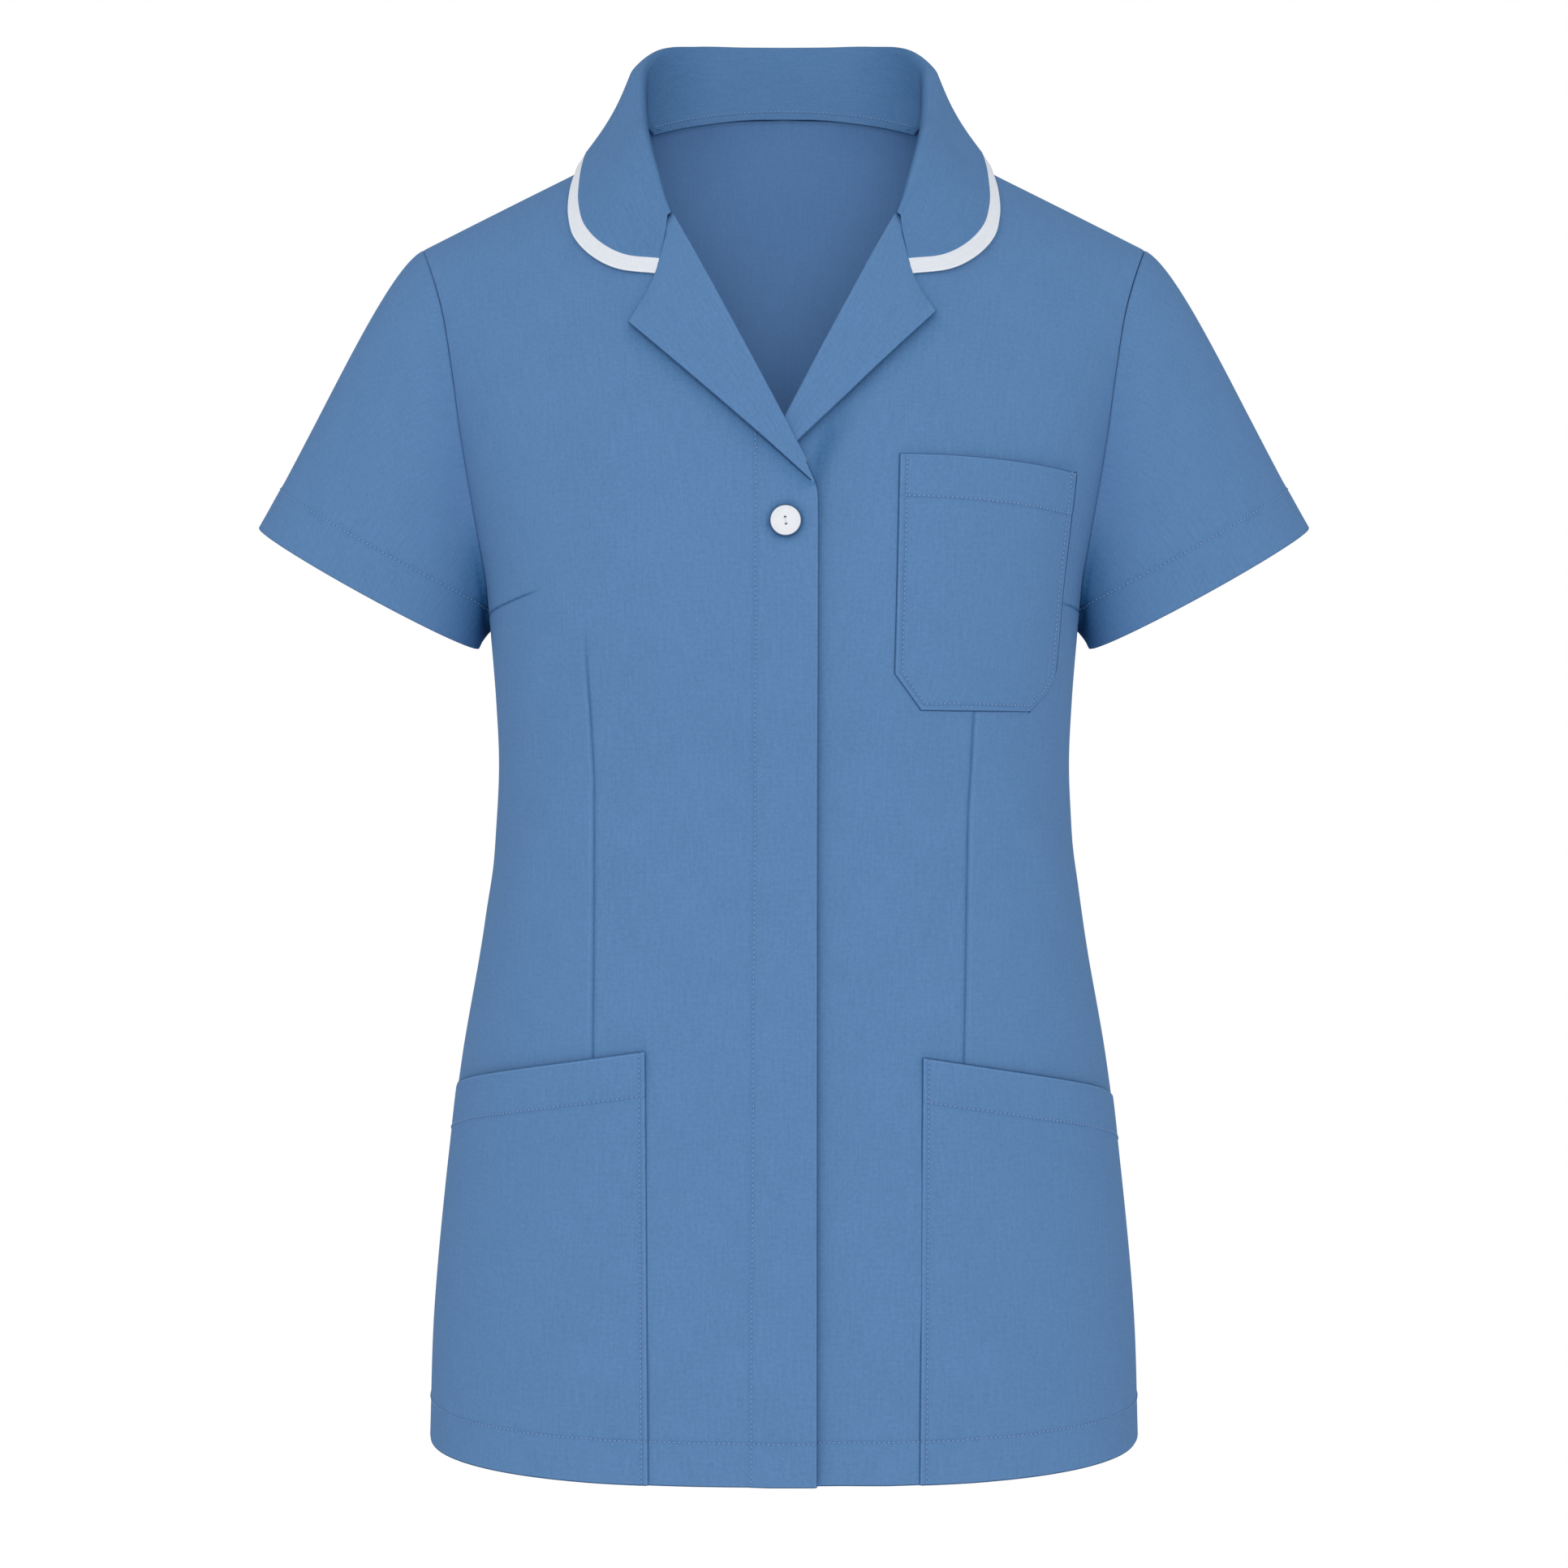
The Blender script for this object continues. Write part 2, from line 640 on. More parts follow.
TAIL_SINK = 1.3  # how much more the left front sinks by the lapels' end, in layers


def dart_groove(side, x, z):
    """How deep the darts' grooves are, how much cloth is folded beside them, and how dark they look."""
    off = x - straight(WAIST_DART[side], z)
    held = step(z, -0.520, -0.495) * (1 - step(z, WAIST_DART_TOP[side] - 0.045, WAIST_DART_TOP[side]))
    (x1, z1), (x2, z2) = BUST_DART[side]
    line = z1 + (z2 - z1) * (x - x1) / (x2 - x1)
    bust = step(x, x2 - 0.004, x2 + 0.010) * line_dip(z - line, 0.0007)
    groove = DART_DIP * held * line_dip(off, 0.0008) + BUST_DIP * bust
    fold = DART_FOLD * held * step(off, -0.0090, -0.0040) * (1 - step(off, -0.0006, 0.0002))
    pressed = DART_DARK * line_dip(off + 0.0002, 0.0010) - DART_LIGHT * line_dip(off - 0.0016, 0.0008)
    return groove, fold, held * pressed + BUST_DARK * bust


def underlap(points):
    """Sinks the left front under the right one, more beside the end of the lapels."""
    x, z = points[..., 0], points[..., 2]
    near_centre = np.clip((0.052 - x) / 0.022, 0, 1)
    by_tail = np.clip((-0.130 - z) / 0.025, 0, 1) * np.clip((z + 0.238) / 0.025, 0, 1)
    return points + (LAYER * near_centre * (1 + TAIL_SINK * by_tail))[..., None] * (0, 1, 0)


print("creases:", {side: len(lines) for side, lines in FRONT_CREASES.items()})


# %% Shade beside what lies on the fronts
LAPEL_POINT = {"right": (0.0789, -0.1196), "left": (0.0770, -0.1139)}
LAPEL_END = (-0.0150, -0.2042)
TAIL_FOLD = ((0.0285, -0.1660), (0.0150, -0.2010))  # a soft fold of the left front beside the lapels' end
HIP_MOUTH = {"right": (-0.4943, -0.5280), "left": (-0.4974, -0.5345)}  # by the front edge and the side seam
HIP_MOUTH_X = (0.0705, 0.1763)
LAPEL_SHADES, LAPEL_REACH = (0.12, 0.30), 0.0048  # above and below the lapel's point
HIP_SHADE, BUTTON_SHADE, LAP_SHADE, TAIL_SHADE, CHEST_SHADE = 0.13, 0.35, 0.18, 0.26, 0.10


def beside(off, reach):
    return np.exp(-np.abs(off) / reach)


def lain_on_shade(side, x, z):
    """Cloth that lies close beside or under another piece's edge looks a little darker."""
    shade = np.zeros_like(x)
    corners = ((NOTCH_X, NOTCH_Z), LAPEL_POINT[side], LAPEL_END)
    for a, b, strength in zip(corners, corners[1:], LAPEL_SHADES):
        off, along = beyond(x, z, a, b)
        shade += strength * beside(off, LAPEL_REACH) * (1 - step(np.abs(along - 0.5), 0.48, 0.53))
    off, along = beyond(x, z, *zip(HIP_MOUTH_X, HIP_MOUTH[side]))
    shade += HIP_SHADE * beside(off, 0.0050) * (1 - step(-along, 0.0, 0.03))
    if side == "right":
        from_button = np.hypot(x + BUTTON_X, z - BUTTON_Z) - BUTTON_RADIUS
        shade += BUTTON_SHADE * beside(np.maximum(from_button, 0), 0.0014)
    else:
        shade += LAP_SHADE * beside(x - LAP, 0.0026) * (1 - step(z, -0.205, -0.195))
        off, along = beyond(x, z, *TAIL_FOLD)
        shade += TAIL_SHADE * line_dip(off, 0.0048) * step(along, -0.10, 0.60) * (1 - step(along, 0.8, 1.4))
        over_pocket = step(x, 0.056, 0.064) - step(x, 0.148, 0.156)
        shade += CHEST_SHADE * over_pocket * beside(z - POCKET_TOP, 0.0040)
    return -shade


# %% Both fronts
HEM_SHADE, BAND_SHADE, BAND_PUFF = 0.05, 0.04, 0.0011
front_points = {}


def dress_front(side):
    points = front_grid(side)
    x, z = points[..., 0], points[..., 2]
    groove, fold, dark = dart_groove(side, x, z)
    hem_line = z - (HEM + HEM_TURN)
    lift = fold - groove + crease_lift(x, z, FRONT_CREASES[side]) + turned_up(hem_line)
    rub = lain_on_shade(side, x, z) - dark - HEM_SHADE * line_dip(hem_line, 0.0010)
    if side == "right":
        band = x - straight(BAND_LINE, z)
        sewn = 1 - step(z, BAND_TOP - 0.010, BAND_TOP)
        lift += sewn * turned_up(band, 0.0004)
        lift += BAND_PUFF * (1 - step(band, -0.012, 0.002)) * (1 - 0.6 * step(z, -0.215, -0.195))
        rub -= BAND_SHADE * sewn * line_dip(band, 0.0010)
    by_seam = np.clip(run_left(points, 1) / 0.012, 0, 1)  # flat where it is sewn to the back and sleeve
    points = raised("front", points, lift * by_seam)
    front_points[side] = points if side == "right" else underlap(points)
    cloth_piece(f"{side}_front_panel", f"front_{side}", front_points[side], rub=rub, lip=0.0008)


for side in SIDES:
    dress_front(side)

# %% [markdown]
# ## Back panel
# The back is one plain panel. Its neckline is a shallow curve and its shoulders meet the fronts. It could
# be two mirrored halves, but there is no seam down its middle, so one sheet goes from side to side.

# %% Back
NECK_TURN = 0.0010  # the back's neck edge stands up behind the collar's stand
NECK_SEAM_SHADE, INSIDE_PALER = 0.40, 0.38
NECK_TO_SIDE = 0.170
BACK_CREASES = crease_lines(
    (-0.085, -0.330, -0.125, -0.450, 0.0120, 0.0012),
    (0.080, -0.325, 0.130, -0.455, 0.0120, 0.0012),
    (-0.030, -0.340, -0.045, -0.470, 0.0130, -0.0009),
    (0.035, -0.330, 0.040, -0.480, 0.0130, -0.0009),
    (-0.100, -0.120, -0.060, -0.230, 0.0160, 0.0010),
    (0.105, -0.115, 0.065, -0.240, 0.0160, 0.0010),
)


def back_top(x):
    neck = smooth(BACK_NECK, "x", "height", np.abs(x)) + NECK_TURN * step(NECK_X - np.abs(x), 0.0, 0.0015)
    return np.where(np.abs(x) < NECK_X, neck, shoulder(x))


def neck_column(z):
    return np.interp(z, [HEM, UNDERARM, BACK_NECK[-1].height], [0.085, 0.070, NECK_X])


def dress_back(coarse=0.0034, fine=0.0008):
    start, share = body_rows(coarse)
    row = row_of(start, share, back_top)
    neck, outer = edge_angle(row, neck_column), outer_angle(start, row)
    middle = shares(NECK_X, [NECK_X], coarse, fine)
    side = shares(NECK_TO_SIDE, [0, NECK_TO_SIDE], coarse, fine)[1:]
    half = np.concatenate([neck * middle, neck + (outer - neck) * side], axis=1)
    points = along_row("back", np.concatenate([-half[:, :0:-1], half], axis=1), row)[:, ::-1]
    x, z = points[..., 0], points[..., 2]
    hem_line = z - (HEM + HEM_TURN)
    lift = crease_lift(x, z, BACK_CREASES) + turned_up(hem_line)
    points = raised("back", points, lift)
    rub = -HEM_SHADE * line_dip(hem_line, 0.0010)
    rub[-1] -= NECK_SEAM_SHADE
    rub[-2] -= NECK_SEAM_SHADE / 2
    cloth_piece("back_panel", "back", points, rub=rub, paler=INSIDE_PALER)
    return points


back_points = dress_back()

# %% [markdown]
# ## Sleeves
# A short set-in sleeve is a tube. A bent cylinder would be near it, but its top wouldn't meet the
# armhole. So every strand of it leaves the armhole along the shoulder's slope and turns down the arm,
# and the strands end on an oval hem, which is turned up and stitched.

# %% Armhole and cuff
CUFF_OUTER, CUFF_INNER = (0.2906, -0.2157), (0.1700, -0.2810)
CUFF_HALF_DEPTH, CUFF_TILT = 0.046, 0.215


def armhole_ring():
    start, share = body_rows(0.0030)
    held = start[:, 0] >= UNDERARM
    row = row_of(start[held], share[held], shoulder)
    front, back = (along_row(side, outer_angle(start[held], row), row)[:, 0] for side in ("front", "back"))
    ring = np.concatenate([front, back[-2:0:-1]])
    ring[np.abs(ring[:, 1]) <= SEAM] *= (1, 0, 1)
    return ring


def cuff_ring(armhole):
    """The place on the oval hem for each point of the armhole."""
    outer, inner = np.array(CUFF_OUTER), np.array(CUFF_INNER)
    middle, half = (outer + inner) / 2, (outer - inner) / 2
    along = run(np.concatenate([armhole, armhole[:1]]), 0)
    top = along[int(np.argmax(armhole[:, 2]))]
    turn = np.interp(along[:-1], [0, top, along[-1]], [0, pi, 2 * pi])
    out, forward = -np.cos(turn), -np.sin(turn) * CUFF_HALF_DEPTH
    across, up = middle[0] + half[0] * out, middle[1] + half[1] * out
    return np.stack([across + CUFF_TILT * forward, forward, up + CUFF_TILT * forward], axis=-1)


print("points round the armhole:", len(armhole_ring()))

# %% Surface of a sleeve
SLEEVE_FALL, CAP_PULL, CUFF_PULL = (0.50, 0.0, -0.866), 0.38, 1.10
SLEEVE_LENGTH, SLEEVE_TURN = 0.120, 0.0250
CAP_SLOPE, UNDER_SLOPE, CAP_TURN = (1, 0, -SHOULDER_SLOPE), (0.97, 0, -0.25), 1.6
# Seam allowance of the sleeve, from its raw edge: how far it goes back and how far inside
ARMHOLE_TURN = ((0.0035, 0.0032), (0.0012, 0.0022), (0.0002, 0.0012), (-0.0001, 0.0004))


def sleeve_grid():
    armhole = armhole_ring()
    cuff = cuff_ring(armhole)
    height = (armhole[:, 2:] - UNDERARM) / (armhole[:, 2].max() - UNDERARM)
    slope, under = np.array(CAP_SLOPE), np.array(UNDER_SLOPE)
    begin = unit(unit(under + (slope - under) * height) + armhole * (0, CAP_TURN, 0))
    armhole = armhole + begin * SLEEVE_GAP
    chord = np.linalg.norm(cuff - armhole, axis=-1, keepdims=True)
    leave, arrive = begin * chord * CAP_PULL, np.array(SLEEVE_FALL) * chord * CUFF_PULL
    marks = [0, SLEEVE_LENGTH - SLEEVE_TURN, SLEEVE_LENGTH]
    t = shares(SLEEVE_LENGTH, marks, 0.0028, 0.0007)[:, None, None]
    points = between(t, armhole, cuff, leave, arrive)
    inward = unit((armhole.mean(axis=0) - armhole) * (0.25, 1, 1))
    turned = [armhole - begin * along + inward * sink for along, sink in ARMHOLE_TURN]
    return np.concatenate([np.stack(turned), points])


# %% Both sleeves
SLEEVE_SHADE, CUFF_SHADE = 0.80, 0.06


def beside_body(x, z):
    """How deep in the shade between sleeve and body."""
    away = np.maximum(x - straight(ARMHOLE, z) - 0.004, 0)
    return (0.80 * beside(away, 0.0052) + 0.20 * beside(away, 0.018)) * (1 - step(z, -0.268, -0.205))


def dress_sleeve(side):
    points = sleeve_grid()
    normal = grid_normals(points, wraps=True)
    normal *= np.sign(np.sum(normal * (points - points.mean(axis=1, keepdims=True)), axis=-1).mean())
    line = run_left(points, 0) - SLEEVE_TURN
    points = points + normal * turned_up(line)[..., None]
    rub = -CUFF_SHADE * line_dip(line, 0.0010) - SLEEVE_SHADE * beside_body(points[..., 0], points[..., 2])
    cloth_piece(f"{side}_sleeve_cloth", f"sleeve_{side}", points, wraps=True, rub=rub)
    return points


sleeve_points = {side: dress_sleeve(side) for side in SIDES}

# %% [markdown]
# ## Collar and its white edge
# The collar stands up from the neckline, rolls over a fold and falls on the shoulders, with rounded
# front ends. A doubled white strip is sewn round the outer edge. It could be modelled flat and folded,
# but then its outline would come out by chance. So the seam, the top of the fold and the outer edge are
# placed first, and the cloth is drawn over them.

# %% Places along the collar's fold
FOLDS = table(
    "seam_side seam_x seam_z crest_x crest_y crest_z radius edge_side edge_x edge_z lift",
    ("front", GORGE_X, GORGE_Z, 0.0593, -0.0800, -0.0585, 0.0008, "front", NOTCH_X, NOTCH_Z, 0.0018),
    ("front", 0.0628, -0.0480, 0.0628, -0.0765, -0.0480, 0.0012, "front", 0.0855, -0.0891, 0.0024),
    ("front", 0.0662, -0.0380, 0.0660, -0.0700, -0.0350, 0.0018, "front", 0.0997, -0.0810, 0.0026),
    ("front", 0.0690, -0.0300, 0.0692, -0.0620, -0.0220, 0.0025, "front", 0.1099, -0.0692, 0.0028),
    ("front", 0.0713, -0.0180, 0.0722, -0.0500, -0.0090, 0.0030, "front", 0.1138, -0.0563, 0.0028),
    ("front", 0.0737, -0.0060, 0.0746, -0.0300, 0.0060, 0.0034, "front", 0.1142, -0.0400, 0.0030),
    ("front", 0.0753, 0.0020, 0.0762, -0.0130, 0.0215, 0.0036, "front", 0.1126, -0.0290, 0.0032),
    ("back", 0.0755, 0.0046, 0.0768, 0.0000, 0.0345, 0.0036, "front", 0.1106, -0.0182, 0.0038),
    ("back", 0.0740, 0.0053, 0.0762, 0.0110, 0.0445, 0.0036, "back", 0.1068, -0.0168, 0.0036),
    ("back", 0.0640, 0.0097, 0.0695, 0.0280, 0.0575, 0.0038, "back", 0.0960, -0.0130, 0.0034),
    ("back", 0.0420, 0.0165, 0.0480, 0.0470, 0.0660, 0.0040, "back", 0.0620, -0.0020, 0.0030),
    ("back", 0.0200, 0.0210, 0.0230, 0.0545, 0.0678, 0.0042, "back", 0.0300, 0.0060, 0.0030),
    ("back", 0.0, 0.0223, 0.0, 0.0560, 0.0680, 0.0042, "back", 0.0, 0.0080, 0.0030),
)
STAND_OFF = 0.0013


def fold_lines(sections=110):
    """Seam, crest, radius of the roll and outer edge, from a front end to the middle of the back."""
    places = []
    for i, f in enumerate(FOLDS):
        seam = lifted(f.seam_side, f.seam_x, f.seam_z, np.interp(i, [0, 3], [LAYER, WALL / 2 + STAND_OFF]))
        outer = lifted(f.edge_side, f.edge_x, f.edge_z, f.lift)
        places.append(np.concatenate([seam, (f.crest_x, f.crest_y, f.crest_z, f.radius), outer]))
    places = np.array(places)
    steps = np.diff(places, axis=0)
    lengths = np.linalg.norm(steps[:, 3:6], axis=-1) + np.linalg.norm(steps[:, 7:], axis=-1)
    along = np.concatenate([[0], np.cumsum(lengths)])
    at = spread(along[-1], [0], along[-1] / sections, 0.0012)
    lines = np.stack([through(along, values, at) for values in places.T], axis=1)
    return lines[:, :3], lines[:, 3:6], lines[:, 6:7], lines[:, 7:]


print("sections from a front end to the nape:", len(fold_lines()[0]))

# %% Surface of the collar
FALL_HOLLOW, TRIM_WIDTH, TRIM_OVERLAP = 0.0012, 0.0082, 0.0016
# Rows of the stand: share of its height, and how far the row is drawn inside the back and down
STAND_ROWS = (
    (0, 0.0035, 0.0018), (0.03, 0.0035, 0.0012), (0.08, 0.0034, 0.0010), (0.18, 0.0016, 0),
    (0.34, 0.0004, 0), (0.50, 0, 0), (0.66, 0, 0), (0.84, 0, 0),
)
FALL_ROWS = (0.04, 0.1, 0.18, 0.27, 0.36, 0.45, 0.54, 0.63, 0.72, 0.81, 0.89, 0.95, 0.985, 1)
TRIM_ROWS = (0, 0.08, 0.25, 0.5, 0.75, 0.92, 1)


def collar_grids():
    seam, crest, radius, outer = fold_lines()
    up = unit(crest - seam)
    out = facing(unit(np.cross(np.gradient(crest, axis=0), up)), outer - crest)
    far = crest + out * radius * 2
    down = unit(outer - far)
    hollow = facing(unit(np.cross(np.gradient(outer, axis=0), down)), out)
    lower, upper = crest - up * radius, far + down * radius
    sewn = outer - down * (TRIM_WIDTH + TRIM_SEAM)
    wraps = step(seam[:, 1:2], -0.024, 0.002)  # only behind the shoulders
    points = [seam + (lower - seam) * t - wraps * (out * back + up * below) for t, back, below in STAND_ROWS]
    for t in np.linspace(0, 1, 15):
        over = (1 - t) ** 3 * lower + t**3 * upper + 3 * t * (1 - t) ** 2 * (crest + up * radius * 0.5)
        points.append(over + 3 * t**2 * (1 - t) * (far + up * radius * 0.5))
    points += [upper + (sewn - upper) * t - hollow * FALL_HOLLOW * sin(pi * t) for t in FALL_ROWS]
    start = outer - down * (TRIM_WIDTH + TRIM_OVERLAP) - hollow * 0.0002
    return np.stack(points, axis=1), np.stack([start + (outer - start) * t for t in TRIM_ROWS], axis=1)


def both_halves(half):
    return np.concatenate([half[:-1] * MIRROR, half[::-1]])


# %% Collar and white edge
FALL_SHADE, STAND_SHADE, STAND_SHADE_ASIDE = 0.05, 0.09, 0.16
fall, trim = collar_grids()
collar_points = both_halves(fall)
in_stand = 1 - step(np.linspace(0, 1, collar_points.shape[1]), 0.30, 0.42)
toward_sides = STAND_SHADE + STAND_SHADE_ASIDE * step(np.abs(collar_points[..., 0]), 0.035, 0.072)
cloth_piece(
    "collar_cloth", "collar", collar_points, rub=-in_stand * toward_sides - FALL_SHADE * (1 - in_stand)
)
cloth_piece(
    "collar_white_edge", "collar_trim", both_halves(trim), TRIM_WALL, white_binding, lip=0.0003
)

# %% [markdown]
# ## Lapels
# A lapel is the top of the front's facing, turned back over the roll line. Along that line the cloth
# bends round in a small roll down to the front's own edge, and from there it lies flat on the front. It
# could be one sheet with the front, but a fold this sharp spoils a grid, so it is a piece of its own.

# %% Surface of a lapel
ROLL_END_Z, CORNER_SHARE = -0.2037, 0.3  # the lapel's point comes at this share of the roll line
ROLL_RADIUS, LAPEL_PUFF, LAPEL_STAND = 0.0009, 0.0006, 0.0026
GORGE_TUCK = (0.0016, 0.0006)  # the end of the lapel is tucked under the collar's front end


def lapel_grid(point):
    parts = [spread(length, [0, length], 0.018, 0.006, 0.05) for length in (CORNER_SHARE, 1 - CORNER_SHARE)]
    s = np.concatenate([parts[0], CORNER_SHARE + parts[1][1:]])[:, None]
    roll_z = GORGE_Z - SEAM + (ROLL_END_Z - GORGE_Z + SEAM) * s
    roll = np.concatenate([straight(FRONT_EDGE, roll_z), roll_z], axis=1)
    notch, point = np.array((NOTCH_X + SEAM, NOTCH_Z)), np.array(point)
    upper = notch + (point - notch) * s / CORNER_SHARE
    lower = point + (np.array(LAPEL_END) - point) * (s - CORNER_SHARE) / (1 - CORNER_SHARE)
    outer = np.where(s <= CORNER_SHARE, upper, lower)
    t = spread(1.0, [0, 1.0], 0.06, 0.015, 0.12)[None, :]
    flat = roll[:, None] + (outer - roll)[:, None] * t[..., None]
    under_collar = line_dip(t - 0.16, 0.11) * (1 - step(s, 0.0, 0.03))
    flat = flat + under_collar[..., None] * GORGE_TUCK
    wide = np.clip(np.linalg.norm(outer - roll, axis=-1)[:, None] / 0.02, 0, 1)
    stand = LAPEL_STAND * step(s, 0.10, 0.34) * step(t, 0.2, 1.0)
    lift = LAYER + wide * (LAPEL_PUFF * np.sin(pi * t) ** 0.8 + stand)
    points = lifted("front", flat[..., 0], flat[..., 1], lift)
    points[:, 0] += unit(points[:, 1] - points[:, 0]) * 0.0002
    first, inward = points[:, 0], unit(points[:, 2] - points[:, 0])
    normal = form_normal("front", on_form("front", flat[:, 0, 0], flat[:, 0, 1]))
    turns = np.linspace(pi, 0, 8)[:-1]
    curl = [first - ROLL_RADIUS * (normal * (1 - cos(turn)) + inward * sin(turn)) for turn in turns]
    return np.concatenate([np.stack(curl, axis=1), points], axis=1)


# %% Both lapels
ROLL_RUB, GORGE_SHADE = 0.10, 0.60


def dress_lapel(side):
    points = lapel_grid(LAPEL_POINT[side])
    points = points if side == "right" else underlap(points)
    on_roll = line_dip(np.arange(points.shape[1]) - 5.0, 1.8)
    at_gorge = line_dip(np.arange(points.shape[0]), 1.3)[:, None]
    rub = ROLL_RUB * on_roll - GORGE_SHADE * at_gorge
    cloth_piece(f"{side}_lapel_cloth", f"lapel_{side}", points, rub=rub, lip=0.0007)


for side in SIDES:
    dress_lapel(side)

# %% [markdown]
# ## Pockets
# A patch pocket is sewn down along its edges and open at its mouth, whose hem is stitched as a band.
# The sewn edges are pressed flat, the middle stands a little proud and the mouth gapes slightly. A flat
# patch could be wrapped on the front by a modifier. Laying it on the same form, a little higher, gives
# the height at each point a meaning: sewn down, lying loose or gaping.

# %% How a patch pocket lies
EDGE_STITCH, MOUTH_BAND = 0.0026, 0.0220
SEWN_LIFT, OPEN_LIFT, CHEST_GAPE, HIP_GAPE = 0.00125, 0.0019, 0.0012, 0.0022
POCKET_STITCH_DIP, POCKET_STITCH_SHADE, MOUTH_RUB = 0.0003, 0.07, 0.10


def pocket_lift(points, sewn_below, gape):
    """How high the pocket's wall lies over the front, and how its stitches and mouth look."""
    across, below_mouth = run(points, 1), run_left(points, 0)
    near = np.minimum(across, run_left(points, 1))
    if sewn_below:
        near = np.minimum(near, run(points, 0))
    band = below_mouth - MOUTH_BAND
    stitched = np.maximum(line_dip(near - EDGE_STITCH, STITCH_DIP_WIDTH), line_dip(band, STITCH_DIP_WIDTH))
    lift = SEWN_LIFT + (OPEN_LIFT - SEWN_LIFT) * step(near, 0.002, 0.030)
    lift += gape * np.sin(pi * across / across[:, -1:]) * (1 - step(below_mouth, 0.0, 0.035))
    lift += 0.0002 * (1 - step(band, -0.0006, 0.0006)) - POCKET_STITCH_DIP * stitched
    rub = -POCKET_STITCH_SHADE * stitched
    rub[-1] += MOUTH_RUB
    return lift, rub


# %% Chest pocket
CHEST_INNER = edge((-0.3188, 0.0699), (-0.3008, 0.0566), (POCKET_TOP, 0.0593))
CHEST_OUTER = edge(
    (-0.3188, 0.1274), (-0.3090, 0.1373), (-0.3005, 0.1418), (-0.2590, 0.1451), (POCKET_TOP, 0.1528)
)
CHEST_MOUTH = table(
    "x drop",
    (0.0593, -0.0010), (0.0900, -0.0002), (0.1150, 0.0010),
    (0.1280, 0.0018), (0.1400, 0.0027), (0.1528, 0.0037),
)
CUT_CORNER_RUB = (-0.06, 0.20, 0.60)  # on the last three columns, below the height of the cut-off corner


def dress_chest_pocket():
    low, high = CHEST_INNER[0].height, POCKET_TOP
    z = low + spread(high - low, [0, EDGE_STITCH, 0.1068, 0.1288], 0.0024)
    near_mouth = step(z, -0.230, high)[:, None]

    def row(x):
        return z[:, None] - near_mouth * smooth(CHEST_MOUTH, "x", "drop", np.asarray(x, float))

    start, end = edge_angle(row, CHEST_INNER), edge_angle(row, CHEST_OUTER)
    across = shares(0.100, [0, EDGE_STITCH, 0.097, 0.100], 0.0024)
    points = along_row("front", start + (end - start) * across, row)
    lift, rub = pocket_lift(points, True, CHEST_GAPE)
    rub[:, -3:] -= (1 - step(points[:, -3:, 2], -0.302, -0.286)) * CUT_CORNER_RUB
    points = raised("front", points, lift)
    lip = np.full((*points.shape[:2], 1), 0.0009)
    lip[:, -1] += 0.0013 * step(points[:, -1, 2:], -0.303, -0.292)
    lip[-1, :-1] = 0.0005
    cloth_piece("chest_pocket_cloth", "chest_pocket", points, POCKET_WALL, rub=rub, lip=lip)
    return points


chest_points = dress_chest_pocket()

# %% Hip pockets
HIP_INNER = edge((HEM, 0.0688), (-0.494, 0.0712))
AT_SEAM = 0.00025  # the pocket's height over the front where both are sewn into the side seam


def hip_grid(side):
    mouth_inner, mouth_side = HIP_MOUTH[side]
    tall = mouth_inner - HEM
    share = shares(tall, [0, HEM_TURN, tall - MOUTH_BAND, tall], 0.0028)[:, None]
    height = HEM + tall * share
    mouth = edge_angle(lambda x: mouth_inner, HIP_INNER)
    start = edge_angle(lambda x: height, HIP_INNER)
    angles = start + (pi / 2 - start) * shares(0.180, [0, EDGE_STITCH, 0.180], 0.0028)
    drop = (mouth_side - mouth_inner) * (angles - mouth) / (pi / 2 - mouth)
    return along_row("front", angles, lambda x: height + drop * share)


def dress_hip_pocket(side):
    points = hip_grid(side)
    lift, rub = pocket_lift(points, False, HIP_GAPE)
    hem_line, from_side = points[..., 2] - (HEM + HEM_TURN), run_left(points, 1)
    lift -= STITCH_DIP * line_dip(hem_line, STITCH_DIP_WIDTH)
    rub -= HEM_SHADE * line_dip(hem_line, 0.0010)
    lip = 0.0009 - 0.0005 * (1 - step(from_side, 0.0, 0.030))[..., None]
    lift = AT_SEAM + (lift - AT_SEAM) * step(from_side, 0.0, 0.075)
    points = raised("front", points, lift)
    cloth_piece(f"{side}_hip_pocket_cloth", f"hip_pocket_{side}", points, POCKET_WALL, rub=rub, lip=lip)
    return points


hip_points = {side: dress_hip_pocket(side) for side in SIDES}

# %% [markdown]
# ## Button
# One flat white resin button holds the lap under the lapels. It is turned on a lathe: a raised rim
# round a shallow dish with two small holes, and a few strands of thread pass from hole to hole. It could
# be spun from an outline. A cylinder whose face is inset and sunk gives the same shape in fewer steps.

# %% Resin
BUTTON_DEPTH = 0.0030
BUTTON_BACK = WALL / 2 + SEAM  # height of its back over the form
BUTTON_RIM = (0.045, 0.100, 0.210, 1)  # its edge lies in its own shade and mirrors the blue cloth
button_middle = lifted("front", BUTTON_X, BUTTON_Z, BUTTON_BACK + BUTTON_DEPTH / 2)
button_forward = form_normal("front", on_form("front", BUTTON_X, BUTTON_Z))


